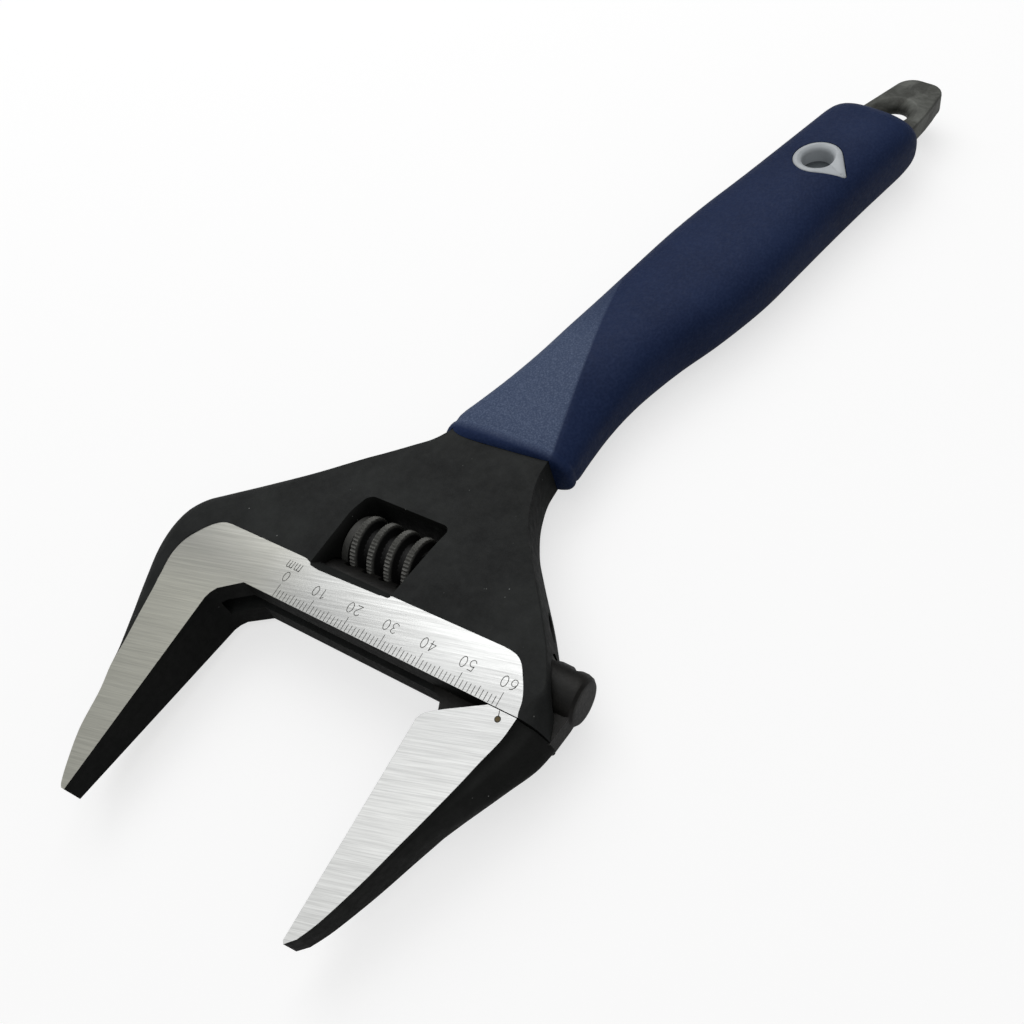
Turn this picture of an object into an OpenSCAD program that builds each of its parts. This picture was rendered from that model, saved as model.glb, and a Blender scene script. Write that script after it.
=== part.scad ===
// Adjustable wrench with a wide, thin-tipped jaw and a two-part handle grip.
// Millimetres. The origin is where the fixed jaw's gripping face meets the throat, at mid thickness.
// +X is the way the moving jaw opens, +Y runs from the throat to the handle, +Z is across the thickness.

/* [Jaws] */
// Opening between the gripping faces as the wrench is shown
jaw_open = 61.8; // [20:0.2:61.8]
// Reach of the jaws below the throat
jaw_depth = 53.2; // [45:0.2:60]
// Thickness of the jaws at the throat
throat_t = 16.6; // [14:0.2:18]
// Loss of half thickness per millimetre towards the tips
jaw_taper = 0.101; // [0.06:0.001:0.11]
// Gap between the moving jaw and the throat face
jaw_gap = 0.2; // [0.1:0.05:0.4]

/* [Head] */
// Thickness of the black head
head_t = 18; // [16:0.2:18.6]
// Distance from the throat face to the back edge of the ground pad
pad_back = 10.9; // [8:0.1:12]
// Extent of the head beyond the moving jaw's gripping face
head_right = 25.2; // [24:0.1:28]

/* [Worm] */
// Distance from the throat face to the worm axis
worm_y = 22.7; // [22.5:0.1:23.2]
// Radius over the worm's crest
worm_r = 7.5; // [7.2:0.05:7.6]
// Depth of the thread
thread_depth = 2.4; // [2:0.1:2.6]
// Pitch of the worm and of the rack
pitch = 5; // [4.8:0.05:5.2]
// Position of the worm's left end
worm_left = 19.9; // [19.5:0.1:20.5]
// Length of the worm
worm_len = 19.4; // [18:0.1:20]
// Depth of the spring's pocket in the worm
pocket_depth = 4; // [2:0.2:8]
// Diameter of the spring's wire
wire_d = 0.9; // [0.6:0.1:1.2]
// Room for the spring beside the worm
spring_room = 3.4; // [2.5:0.1:5]
// Radius of the worm's axle pin
pin_r = 2; // [1.6:0.1:2.4]
// Radial clearance of the worm on its pin
pin_fit = 0.05; // [0.02:0.01:0.1]

/* [Rack] */
// Distance from the throat face to the axis of the rack bar
bar_y = 10.7; // [10.6:0.05:10.8]
// Radius of the rack bar
bar_r = 6.2; // [6:0.1:6.3]
// Length of the rack bar
bar_len = 71; // [66:0.5:72]
// Radial clearance of the bar in its channel
bar_gap = 0.3; // [0.2:0.05:0.5]
// Thickness of the web between the jaw and the bar
web_t = 5; // [4:0.1:6]
// Gap on each side of the web in its slot
web_gap = 0.2; // [0.1:0.05:0.4]

/* [Handle] */
// Angle between the handle and the jaws
handle_angle = 15; // [10:1:22]
// Overall reach of the handle, measured along it from the origin
handle_len = 245.5; // [235:0.5:260]
// Width of the tang
tang_w = 20; // [18:0.5:24]
// Width of the tang at its tip
tip_w = 15; // [13:0.5:18]
// Corner radius of the tang's tip
tip_r = 5.5; // [4:0.5:6.5]
// Thickness of the tang
tang_t = 6; // [5:0.2:7]
// Radius of the hang hole
hang_r = 4; // [3.5:0.1:7]
// Thickness of the head's neck, where the grip begins
neck_t = 11.6; // [11.4:0.2:15]
// Thickness of the shank inside the grip
shank_t = 11; // [9:0.2:12]
// Thickness of the grip
grip_t = 20.4; // [18:0.2:24]
// Thickness of the hard sleeve around the shank
core_wall = 1.4; // [1:0.1:1.8]

/* [Hidden] */

tip_y = -jaw_depth;
head_half = head_t / 2;
head_end = jaw_open + head_right;
neck_half = neck_t / 2;
shank_half = shank_t / 2;
tang_half = tang_t / 2;
grip_half = grip_t / 2;
core_from = 90;
core_to = handle_len - 29.5;
grip_to = handle_len - 25.5;
neck_to = 72;
slot_front = -5;
tang_mid = 22.4;
tang_r = tang_w / 2;
hang_x = tang_mid - 0.4;
hang_y = handle_len - 17.3;
big = 400;

// Point of the handle in the wrench's own frame, from its place across and along the handle
function hp(across, along) = [
    across * cos(handle_angle) + along * sin(handle_angle),
    along * cos(handle_angle) - across * sin(handle_angle)
];
function on_handle(across, along, bevel) = concat(hp(across, along), hp(across + bevel, along));

// Smooth curve through control points of any length
function spline_point(p, i, t) =
    let (a = p[max(i - 1, 0)], b = p[i], c = p[i + 1], d = p[min(i + 2, len(p) - 1)])
    0.5 * (2 * b + (c - a) * t + (2 * a - 5 * b + 4 * c - d) * t * t + (3 * b - a - 3 * c + d) * t * t * t);
function spline(p, steps) = concat(
    [for (i = [0:len(p) - 2], j = [0:steps - 1]) spline_point(p, i, j / steps)],
    [p[len(p) - 1]]
);

// Half thickness of the ground jaws at a distance from the throat
function ground_half(y) = throat_t / 2 + jaw_taper * y;
function local_half(y) = min(ground_half(y), head_half);

// Plate whose edge is rounded between a middle outline and a smaller top outline.
// Each outline entry is [middle x, middle y, top x, top y].
edge_angles = [-80, -60, -38, -15, 15, 38, 60, 80];
module edged_plate(outline, half) {
    count = len(outline);
    layers = len(edge_angles) + 2;
    waste = 0.1;
    bottom = [for (p = outline) [p[2], p[3], -half - waste]];
    top = [for (p = outline) [p[2], p[3], half + waste]];
    edge = [
        for (a = edge_angles, p = outline)
            [
                p[2] + (p[0] - p[2]) * cos(a),
                p[3] + (p[1] - p[3]) * cos(a),
                local_half(p[3]) * sin(a)
            ]
    ];
    points = concat(bottom, edge, top);
    sides = [
        for (k = [0:layers - 2], i = [0:count - 1])
            let (j = (i + 1) % count, q = k * count)
            each [[q + i, q + count + i, q + count + j], [q + i, q + count + j, q + j]]
    ];
    caps = [[for (i = [0:count - 1]) i], [for (i = [0:count - 1]) (layers - 1) * count + count - 1 - i]];
    intersection() {
        polyhedron(points, concat(sides, caps), convexity = 10);
        translate([-big / 2, -big / 2, -half]) cube([big, big, 2 * half]);
    }
}

// Straight bar along X with an outline given in Y and Z
module along_x(x_from, x_to) {
    translate([x_from, 0, 0]) rotate([90, 0, 90]) linear_extrude(x_to - x_from) children();
}

// Everything outside the ground faces of the jaws and the pad, which sinks a little at its back edge
pad_step = 0.1;
pad_flat = min(pad_back - 0.1, (head_half - pad_step - throat_t / 2) / jaw_taper);
pad_half = min(head_half - pad_step, ground_half(pad_back));
module ground_waste() {
    far = 2 * tip_y;
    for (side = [0, 1]) mirror([0, 0, side]) along_x(-big / 4, big / 2) polygon([
        [far, ground_half(far)],
        [pad_flat, ground_half(pad_flat)],
        [pad_back, pad_half],
        [pad_back, head_t],
        [far, head_t]
    ]);
}

// The head gets thinner between its window and the neck
thin_from = 26;
thin_to = 44;
module neck_waste() {
    far = big / 4;
    for (side = [0, 1]) mirror([0, 0, side]) along_x(-big / 4, big / 2) polygon([
        [thin_from, head_half + 0.05],
        [thin_to, neck_half],
        [far, neck_half],
        [far, head_t],
        [thin_from, head_t]
    ]);
}

// Outline of the relief between a gripping face and the throat, from the face outwards
relief = [[0.4, -5.2], [1.3, -3.7], [6.6, 0]];

// Outlines run counter-clockwise
right_wall = spline([
    [head_end, 0, head_end - 6.5, 0],
    [head_end - 1.8, 4, head_end - 5.4, 4],
    [head_end - 3.6, 7.5, head_end - 4.7, 7.8],
    [79.5, 14, 78.5, 14.4],
    [75.8, 19, 75, 18.9],
    [71.4, 24.5, 70.9, 24],
    [67.6, 28.8, 67.3, 28],
    [62.9, 34.2, 62.5, 32.9],
    [59, 39, 58.3, 37.6],
    [55.8, 44.5, 54.9, 42.9],
    [54, 49.1, 52.8, 47.8],
    [53, 53.1, 51.5, 52],
    on_handle(36.2, 68.6, -1.4),
    on_handle(35.2, neck_to, -1.4)
], 3);
left_wall = spline([
    on_handle(10.6, neck_to, 2.2),
    on_handle(9.4, 66, 2.4),
    [22, 54.2, 24.6, 51.6],
    [17.5, 50.1, 20.7, 46.3],
    [9.9, 43.5, 13.9, 39],
    [0.3, 34.8, 5.1, 29.9],
    [-9.9, 26.4, -4.7, 21],
    [-18.3, 19.8, -13, 13.8],
    [-22.6, 16.2, -16.2, 10.8],
    [-25.2, 11.6, -17.7, 8.4],
    [-25.9, 6.5, -17.9, 5],
    [-25.3, 1, -17.2, 0.2],
    [-23.7, -4.4, -15.9, -4.4],
    [-21.2, -10, -14.5, -10],
    [-18, -16, -13.2, -16],
    [-14.4, -22.5, -11.8, -22.5],
    [-10.5, 0.53 * tip_y, -10.4, 0.53 * tip_y],
    [-8.4, 0.64 * tip_y, -8.4, 0.64 * tip_y],
    [-6.6, 0.79 * tip_y, -6.6, 0.79 * tip_y],
    [-3.9, 0.91 * tip_y, -3.9, 0.91 * tip_y],
    [-1.9, 0.98 * tip_y, -1.9, 0.98 * tip_y],
    [-0.9, tip_y, -0.9, tip_y]
], 3);
fixed_face = [
    for (p = concat([[0, tip_y], [0, -6.7]], relief))
        concat(p, p)
];
head_outline = concat(right_wall, left_wall, fixed_face);

// Flank of the moving jaw, from the tip to the throat
jaw_flank = [
    for (p = spline([
        [2.3, 0.966 * tip_y, 2.3],
        [4.6, 0.885 * tip_y, 4.5],
        [7.9, 0.726 * tip_y, 7.7],
        [11.1, 0.556 * tip_y, 10.6],
        [13.4, -25, 12.1],
        [16, -20.2, 13.6],
        [18.8, -15.3, 15.1],
        [21.5, -10.3, 16.5],
        [24.2, -5, 18.1],
        [25.4, -jaw_gap, 18.7]
    ], 3))
        [jaw_open + p[0], p[1], jaw_open + p[2], p[1]]
];
jaw_top = [
    for (p = [[12.05, -jaw_gap], [4.5, -4.6], [1.8, -6.3], [0.45, -7.55], [0, -8.8], [0, tip_y + 0.5]])
        [jaw_open + p[0], p[1], jaw_open + p[0], p[1]]
];
jaw_outline = concat(jaw_flank, jaw_top, [[jaw_open + 0.45, tip_y, jaw_open + 0.45, tip_y]]);

// The thread is laid out in equal steps, as many along a pitch as around a turn
thread_steps = 18;
step = pitch / thread_steps;
crest_steps = 2;
flank_steps = 3;
crest_row = 6;
end_bevel = 0.7;
worm_right = worm_left + worm_len;
// Where the crest crosses the side that faces the rack
crest_rack = worm_left + crest_row * step + pitch / 2;
crest_w = 2 * crest_steps * step;
flank_slope = flank_steps * step / thread_depth;
window_left = worm_left - 0.4;
window_right = worm_right + spring_room;
window_front = 12.3;
window_back = worm_y + worm_r + 1;
bar_right = head_end;
bar_left = bar_right - bar_len;
tooth_top = worm_y - worm_r + 1.3;
gap_bottom = worm_y - worm_r - 0.35;
slot_half = web_t / 2 + web_gap;
channel_r = bar_r + bar_gap;
web_left = jaw_open - 4.4;
web_right = head_end - 0.7;
pin_left = window_left - 5;
pin_right = window_right + 14;
head_pin_r = pin_r + 0.45;
spring_r = pin_r + 0.35 + wire_d / 2;
pocket_r = spring_r + wire_d / 2 + 0.4;

module wrench_body() {
    color("#2b2c2e") difference() {
        union() {
            difference() {
                edged_plate(head_outline, head_half);
                ground_waste();
                neck_waste();
            }
            shank();
        }
        // Channel and slot for the rack bar and its web
        along_x(-big / 4, big / 2) translate([bar_y, 0]) circle(channel_r, $fn = 96);
        translate([web_left - jaw_open - 0.6, slot_front, -slot_half])
            cube([big / 2, bar_y - slot_front, 2 * slot_half]);
        worm_window();
        // Bore for the axle pin, wider from the window to the right wall
        along_x(pin_left - 0.2, window_right) translate([worm_y, 0]) circle(pin_r + 0.02, $fn = 48);
        along_x(window_right - 1, big / 4) translate([worm_y, 0]) circle(head_pin_r + 0.02, $fn = 48);
        rotate([0, 0, -handle_angle]) translate([hang_x, hang_y, 0])
            cylinder(h = big / 4, r = hang_r, center = true, $fn = 96);
    }
}

// Shank inside the grip and the thinner tang behind it
module shank() {
    taper_from = handle_len - 23;
    rotate([0, 0, -handle_angle]) union() {
        translate([0, 0, -shank_half]) linear_extrude(shank_t) polygon([
            [tang_mid - tang_r - 0.4, neck_to - 6],
            [tang_mid + tang_r + 1.6, neck_to - 6],
            [tang_mid + tang_r - 1.2, core_from],
            [tang_mid + tang_r - 2.2, core_from + 10],
            [tang_mid + tang_r - 0.1, core_to],
            [tang_mid - tang_r, core_to]
        ]);
        translate([0, 0, -tang_half]) linear_extrude(tang_t) union() {
            translate([tang_mid - tang_r, core_to - 2]) square([tang_w, taper_from - core_to + 2]);
            hull() {
                translate([tang_mid - tang_r, taper_from - 1]) square([tang_w, 1]);
                for (side = [-1, 1])
                    translate([tang_mid + side * (tip_w / 2 - tip_r), handle_len - tip_r])
                        circle(tip_r, $fn = 72);
            }
        }
    }
}

// Window through the head in which the worm turns
module worm_window() {
    corner = 1.6;
    linear_extrude(big / 4, center = true) union() {
        translate([window_left, window_front])
            square([window_right - window_left, window_back - corner - window_front]);
        translate([window_left + corner, window_front])
            square([window_right - window_left - 2 * corner, window_back - window_front]);
        for (x = [window_left + corner, window_right - corner])
            translate([x, window_back - corner]) circle(corner, $fn = 32);
    }
}

module moving_jaw() {
    color("#313234") difference() {
        union() {
            difference() {
                edged_plate(jaw_outline, head_half);
                ground_waste();
            }
            web();
            rack_bar();
        }
        rack_gaps();
    }
}

// Web between the jaw and the rack bar, with a sloping toe under the relief
module web() {
    translate([0, 0, -web_t / 2]) linear_extrude(web_t) polygon([
        [web_left, bar_y - 1.5],
        [web_left, 0.2],
        [web_left + 4.1, -2.5],
        [web_left + 6.1, -6.8],
        [web_right, -6.8],
        [web_right, bar_y - 1.5]
    ]);
}
module rack_bar() {
    chamfer = 0.8;
    difference() {
        translate([0, bar_y, 0]) rotate([0, 90, 0]) union() {
            translate([0, 0, bar_left + chamfer]) cylinder(h = bar_len - 2 * chamfer, r = bar_r, $fn = 96);
            translate([0, 0, bar_left]) cylinder(h = chamfer, r1 = bar_r - chamfer, r2 = bar_r, $fn = 96);
            translate([0, 0, bar_right - chamfer]) cylinder(h = chamfer, r1 = bar_r, r2 = bar_r - chamfer, $fn = 96);
        }
        translate([bar_left - 1, tooth_top, -bar_r]) cube([bar_len + 2, bar_r, 2 * bar_r]);
    }
}

// Gaps of the rack, leaning with the thread's lead
module rack_gaps() {
    lead = atan(pitch / (2 * PI * (worm_r - 0.6)));
    first = ceil((bar_left - 1 - crest_rack) / pitch);
    last = floor((bar_right + 1 - crest_rack) / pitch);
    low = crest_w / 2 + 0.35;
    top = bar_y + bar_r;
    high = low + (top - gap_bottom) * flank_slope;
    for (k = [first:last]) translate([crest_rack + k * pitch, 0, 0]) rotate([0, -lead, 0])
        linear_extrude(4 * bar_r, center = true)
            polygon([[-low, gap_bottom], [low, gap_bottom], [high, top], [-high, top]]);
}

// Radius of the threaded roller at a place along X and around it, in steps of the thread
function thread_r(row, turn) =
    let (
        away = abs(((row - crest_row - turn) % thread_steps + 1.5 * thread_steps) % thread_steps - thread_steps / 2),
        end_room = min(row * step, worm_len - row * step),
        bevel = max(0, end_bevel - end_room)
    )
    min(worm_r - bevel, worm_r - thread_depth * min(1, max(0, away - crest_steps) / flank_steps));

// Threaded roller as rings of points, with the helix along the diagonals
module thread_body() {
    rows = floor(worm_len / step);
    ring = thread_steps;
    points = [
        for (i = [0:rows], k = [0:ring - 1])
            let (r = thread_r(i, k), a = 360 * k / ring)
            [worm_left + i * worm_len / rows, r * cos(a), r * sin(a)]
    ];
    skin = [
        for (i = [0:rows - 1], k = [0:ring - 1])
            let (q = ring * i + k, n = ring * i + (k + 1) % ring)
            each [[q, n + ring, n], [q, q + ring, n + ring]]
    ];
    caps = [[for (k = [0:ring - 1]) k], [for (k = [ring - 1:-1:0]) ring * rows + k]];
    polyhedron(points, concat(skin, caps), convexity = 10);
}

module worm() {
    color("#3a3a3c") translate([0, worm_y, 0]) difference() {
        thread_body();
        along_x(0, 60) circle(pin_r + pin_fit, $fn = 64);
        along_x(worm_right - pocket_depth, 60) circle(pocket_r, $fn = 64);
    }
}

module worm_pin() {
    slot_w = 0.8;
    color("#55565a") translate([0, worm_y, 0]) difference() {
        union() {
            along_x(pin_left, window_right + 1) circle(pin_r, $fn = 64);
            along_x(window_right, pin_right) circle(head_pin_r, $fn = 64);
        }
        translate([pin_right - 0.8, -slot_w / 2, -5]) cube([2, slot_w, 10]);
    }
}

// Plan outline around the shank, kept clear of it by a margin; entries are [across, along]
function shank_plan(margin) = [
    [tang_mid - tang_r - 0.8 - margin, core_from],
    [tang_mid + tang_r - 0.6 + margin, core_from],
    [tang_mid + tang_r - 1.6 + margin, core_from + 10],
    [tang_mid + tang_r + 0.5 + margin, core_to],
    [tang_mid - tang_r - 0.4 - margin, core_to]
];
eye_mid = [22.6, grip_to - 30.2];
eye_tip = [32.2, grip_to - 31.8];
eye_r = 6.9;
eye_hole_r = 4.4;

// Teardrop of the eye, grown by a margin
module eye_plan(margin) {
    tip_r = 0.9;
    angle = atan2(eye_tip[1] - eye_mid[1], eye_tip[0] - eye_mid[0]);
    reach = norm(eye_tip - eye_mid);
    swing = acos((eye_r - tip_r) / reach);
    translate(eye_mid) rotate(angle) union() {
        circle(eye_r + margin, $fn = 64);
        translate([reach, 0]) circle(tip_r + margin, $fn = 32);
        polygon([
            [0, 0],
            [(eye_r + margin) * cos(swing), (eye_r + margin) * sin(swing)],
            [reach + (tip_r + margin) * cos(swing), (tip_r + margin) * sin(swing)],
            [reach + (tip_r + margin) * cos(swing), -(tip_r + margin) * sin(swing)],
            [(eye_r + margin) * cos(swing), -(eye_r + margin) * sin(swing)]
        ]);
    }
}

// Hard sleeve around the shank, with an eye that reaches both faces of the grip
module core_block(margin) {
    outer_half = shank_half + core_wall;
    eye_half = grip_half + 0.2;
    translate([0, 0, -outer_half]) linear_extrude(2 * outer_half) polygon(shank_plan(core_wall));
    translate([0, 0, -eye_half]) linear_extrude(2 * eye_half) eye_plan(margin);
}
module grip_core() {
    color("#bfc3c8") rotate([0, 0, -handle_angle]) difference() {
        core_block(0);
        translate([0, 0, -shank_half]) linear_extrude(shank_t) polygon([
            for (p = shank_plan(0))
                [p[0], p[1] + sign(p[1] - (core_from + core_to) / 2)]
        ]);
        translate(concat(eye_mid, 0)) cylinder(h = big / 4, r = eye_hole_r, center = true, $fn = 64);
    }
}

// Sections of the soft cover: place along the handle, left edge, right edge, half thickness
function grip_at(share) = core_from + share * (grip_to - core_from);
cover_sections = spline([
    [50, 6.6, 42.6, grip_half - 0.6],
    [60, 6, 42.4, grip_half - 0.3],
    [66, 5.4, 41.8, grip_half],
    [72, 6, 40.2, grip_half],
    [80, 6.7, 37.9, grip_half],
    [grip_at(-0.015), 7, 36, grip_half],
    [grip_at(0.046), 7, 34.9, grip_half],
    [grip_at(0.108), 6.7, 34.6, grip_half],
    [grip_at(0.2), 6.1, 35.5, grip_half],
    [grip_at(0.308), 5.1, 37.7, grip_half],
    [grip_at(0.431), 4.2, 38.9, grip_half],
    [grip_at(0.538), 4.3, 38.4, grip_half],
    [grip_at(0.662), 5.2, 37.6, grip_half],
    [grip_at(0.785), 5.8, 37, grip_half],
    [grip_at(0.877), 6.2, 36.8, grip_half],
    [grip_at(0.931), 6.5, 36.6, grip_half - 0.6],
    [grip_at(0.969), 7.4, 35.9, grip_half - 1.9],
    [grip_at(0.989), 8.8, 34.9, grip_half - 3.6],
    [grip_to, 11, 33.6, grip_half - 5.8]
], 2);
grip_front = 55.5;
function bulge(v) = sign(v) * pow(abs(v), 0.72);

module cover_skin() {
    ring = 32;
    rows = len(cover_sections);
    points = [
        for (s = cover_sections, k = [0:ring - 1])
            let (a = 360 * (k + 0.5) / ring)
            [(s[1] + s[2]) / 2 + (s[2] - s[1]) / 2 * bulge(cos(a)), s[0], s[3] * bulge(sin(a))]
    ];
    skin = [
        for (i = [0:rows - 2], k = [0:ring - 1])
            let (a = ring * i + k, b = ring * i + (k + 1) % ring)
            each [[a, b, b + ring], [a, b + ring, a + ring]]
    ];
    caps = [[for (k = [ring - 1:-1:0]) k], [for (k = [0:ring - 1]) ring * (rows - 1) + k]];
    polyhedron(points, concat(skin, caps), convexity = 10);
}

// Room for the neck and the shank inside the front of the cover
module neck_room() {
    room = 0.3;
    linear_extrude(2 * (neck_half + room), center = true) polygon([
        [6.4, 50], [6.9, 57.5], [9.1, 66], [10.2, neck_to + room],
        [36.9, neck_to + room], [38.3, 68.6], [40, 65.6], [42.3, 62], [44, 50]
    ]);
    linear_extrude(shank_t, center = true) polygon([
        [tang_mid - tang_r - 0.8, neck_to - 1], [tang_mid + tang_r + 2, neck_to - 1],
        [tang_mid + tang_r - 0.7, core_from + 0.05], [tang_mid - tang_r - 0.8, core_from + 0.05]
    ]);
}
module grip_cover() {
    color("#1f2a52") difference() {
        rotate([0, 0, -handle_angle]) difference() {
            cover_skin();
            neck_room();
            core_block(0.05);
            translate([tang_mid - tang_r - 0.3, core_to - 1, -tang_half - 0.1])
                cube([tang_w + 0.6, 30, tang_t + 0.2]);
            translate([tang_mid - tang_r - 0.4, core_to - 1, -shank_half])
                cube([tang_w + 0.9, 3.5, shank_t]);
        }
        translate([-big / 2, grip_front - big, -big / 2]) cube(big);
    }
}

// Coil spring in the worm's pocket, closed against the wall of the window
module worm_spring() {
    steps = 20;
    turns = 5;
    sides = 8;
    start = worm_right - pocket_depth + wire_d / 2 + 0.05;
    end = window_right - wire_d / 2 - 0.05;
    total = steps * turns;
    points = [
        for (i = [0:total], k = [0:sides - 1])
            let (turn = 360 * i / steps, w = 360 * k / sides, r = spring_r + wire_d / 2 * cos(w))
            [start + (end - start) * i / total + wire_d / 2 * sin(w), r * cos(turn), r * sin(turn)]
    ];
    skin = [
        for (i = [0:total - 1], k = [0:sides - 1])
            let (a = sides * i + k, b = sides * i + (k + 1) % sides)
            each [[a, b, b + sides], [a, b + sides, a + sides]]
    ];
    caps = [[for (k = [sides - 1:-1:0]) k], [for (k = [0:sides - 1]) sides * total + k]];
    color("#9a9ca0") translate([0, worm_y, 0]) polyhedron(points, concat(skin, caps), convexity = 10);
}

wrench_body();
moving_jaw();
worm();
worm_pin();
worm_spring();
grip_core();
grip_cover();
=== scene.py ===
import math

import bmesh
import bpy
from mathutils import Matrix, Vector


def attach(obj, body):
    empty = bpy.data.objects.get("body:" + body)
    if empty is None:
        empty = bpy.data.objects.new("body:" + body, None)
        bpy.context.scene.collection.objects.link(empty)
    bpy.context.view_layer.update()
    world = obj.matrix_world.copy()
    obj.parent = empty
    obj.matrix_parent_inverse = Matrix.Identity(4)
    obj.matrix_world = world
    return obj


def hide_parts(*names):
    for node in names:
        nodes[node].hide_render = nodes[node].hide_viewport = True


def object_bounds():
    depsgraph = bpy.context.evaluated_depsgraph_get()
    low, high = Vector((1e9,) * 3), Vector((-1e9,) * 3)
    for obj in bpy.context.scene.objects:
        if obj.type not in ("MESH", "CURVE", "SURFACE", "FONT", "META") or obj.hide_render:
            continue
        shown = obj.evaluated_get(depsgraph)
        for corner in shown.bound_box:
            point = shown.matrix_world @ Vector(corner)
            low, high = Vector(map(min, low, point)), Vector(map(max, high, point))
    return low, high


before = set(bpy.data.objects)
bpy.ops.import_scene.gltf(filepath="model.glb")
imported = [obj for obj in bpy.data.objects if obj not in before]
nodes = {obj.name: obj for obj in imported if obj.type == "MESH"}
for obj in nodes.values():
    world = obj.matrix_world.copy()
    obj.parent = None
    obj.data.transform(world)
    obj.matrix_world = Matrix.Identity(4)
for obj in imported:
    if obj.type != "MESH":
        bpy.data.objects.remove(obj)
cad_low, cad_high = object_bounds()

# The frame is the CAD model's: the origin is the corner of the fixed gripping face and the throat,
# at mid-thickness, +X is the way the jaw opens, +Y runs back to the handle, +Z is the scale's side.
# Lengths are in millimetres, and make() turns them into metres.
MM = 0.001
LEAN = math.radians(15)  # of the handle, from +Y towards +X
JAW = 61.8  # x of the moving jaw's gripping face
TIP = -53.2  # y of the jaws' tips
HEAD = 9.0  # half thickness of the head
RIM = HEAD - 0.12  # the same at the head's edge, a little under its crown
THROAT = 8.3  # half thickness of the ground faces at the throat
TAPER = 0.101  # what that half thickness gains for each mm of y
HEAD_END = 87.0  # x of the head's right end
NECK = 5.8  # half thickness of the neck
BAR_Y = 10.7  # axis of the rack bar
WORM_Y = 22.7  # axis of the worm
WORM_X = 19.9  # left end of the worm
PITCH = 5.0  # of the worm's thread and the rack's teeth
STEPS = 18  # parts of a pitch that the thread's profile is given in
FIRST_CREST = 6  # middle of the thread's crest, in those steps
WORM_DEPTH = 2.4
GRIP = 10.2  # half thickness of the grip
BODY_AT = 90.0  # along the handle, where the grip's rings are first square to it
FRONT_REACH = BODY_AT - 66  # from the grip's front edge to there
EYE_MID = (22.6, 189.8)  # middle of the grip's eye, across and along the handle
ACROSS = (-90, 120)  # x of the ends of cutters that pass right through the head


def ground(y):
    """Half thickness between the ground faces of the jaws."""
    return THROAT + TAPER * y


def pad_z(y):
    """Ground face of the head, which levels out behind the throat."""
    level, reach = 2.0, 8.0
    run = min(max(y - level, 0.0), reach)
    return ground(min(y, level)) + TAPER * (run - run * run / (2 * reach))


def smooth_step(value, low, high):
    t = min(1.0, max(0.0, (value - low) / (high - low)))
    return t * t * (3 - 2 * t)


def on_handle(across, along):
    """A point of the handle in the shared frame."""
    return (
        across * math.cos(LEAN) + along * math.sin(LEAN),
        along * math.cos(LEAN) - across * math.sin(LEAN),
    )


def spline(points, steps):
    """Smooth line through points of any number of columns."""
    out, last = [], len(points) - 1
    for i in range(last):
        a, b = points[max(i - 1, 0)], points[i]
        c, d = points[i + 1], points[min(i + 2, last)]
        for j in range(steps):
            t = j / steps
            out.append(
                tuple(
                    0.5
                    * (
                        2 * q
                        + (r - p) * t
                        + (2 * p - 5 * q + 4 * r - s) * t * t
                        + (3 * q - p - 3 * r + s) * t * t * t
                    )
                    for p, q, r, s in zip(a, b, c, d)
                )
            )
    out.append(tuple(points[-1]))
    return out


def along_table(table, at):
    """Value of each column of a table at a place, which is what its first column gives."""
    if at <= table[0][0]:
        return table[0][1:]
    for low, high in zip(table, table[1:]):
        if at <= high[0]:
            t = (at - low[0]) / (high[0] - low[0])
            return [p + (q - p) * t for p, q in zip(low[1:], high[1:])]
    return table[-1][1:]


# ---------------------------------------------------------------- meshes


def new_object(name, data):
    made = bpy.data.objects.new(name, data)
    bpy.context.scene.collection.objects.link(made)
    return made


def make(name, verts, faces):
    """Mesh object from places in mm, with its faces turned outward."""
    mesh = bpy.data.meshes.new(name)
    mesh.from_pydata([tuple(c * MM for c in v) for v in verts], [], faces)
    work = bmesh.new()
    work.from_mesh(mesh)
    bmesh.ops.recalc_face_normals(work, faces=work.faces)
    work.to_mesh(mesh)
    work.free()
    return new_object(name, mesh)


def loft(name, rings):
    """Closed skin through rings that have the same number of points."""
    n = len(rings[0])
    verts = [p for ring in rings for p in ring]
    faces = [
        [n * k + i, n * k + (i + 1) % n, n * (k + 1) + (i + 1) % n, n * (k + 1) + i]
        for k in range(len(rings) - 1)
        for i in range(n)
    ]
    faces.append(list(range(n))[::-1])
    faces.append([n * (len(rings) - 1) + i for i in range(n)])
    return make(name, verts, faces)


def prism(points, low, high, axis="Z", name="cutter"):
    """Upright prism on an outline in x and y, or one along X on an outline in y and z."""

    def at(p, h):
        return (p[0], p[1], h) if axis == "Z" else (h, p[0], p[1])

    return loft(name, [[at(p, low) for p in points], [at(p, high) for p in points]])


def ring_of(sides, radius):
    """Points on a circle round the origin."""
    turns = [2 * math.pi * k / sides for k in range(sides)]
    return [(radius * math.cos(a), radius * math.sin(a)) for a in turns]


def lathe_x(stations, y, sides=96, name="cutter"):
    """Round body along X, from its places in x and radii."""
    rings = [[(x, y + c, s) for c, s in ring_of(sides, r)] for x, r in stations]
    return loft(name, rings)


def lathe_z(stations, across, along, sides=72, name="cutter"):
    """Round body along Z at a point of the handle, from its heights and radii."""
    x, y = on_handle(across, along)
    rings = [[(x + c, y + s, z) for c, s in ring_of(sides, r)] for z, r in stations]
    return loft(name, rings)


def bake(piece):
    """Put a piece's modifiers into its mesh."""
    graph = bpy.context.evaluated_depsgraph_get()
    mesh = bpy.data.meshes.new_from_object(piece.evaluated_get(graph))
    piece.modifiers.clear()
    old = piece.data
    piece.data = mesh
    bpy.data.meshes.remove(old)


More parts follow.
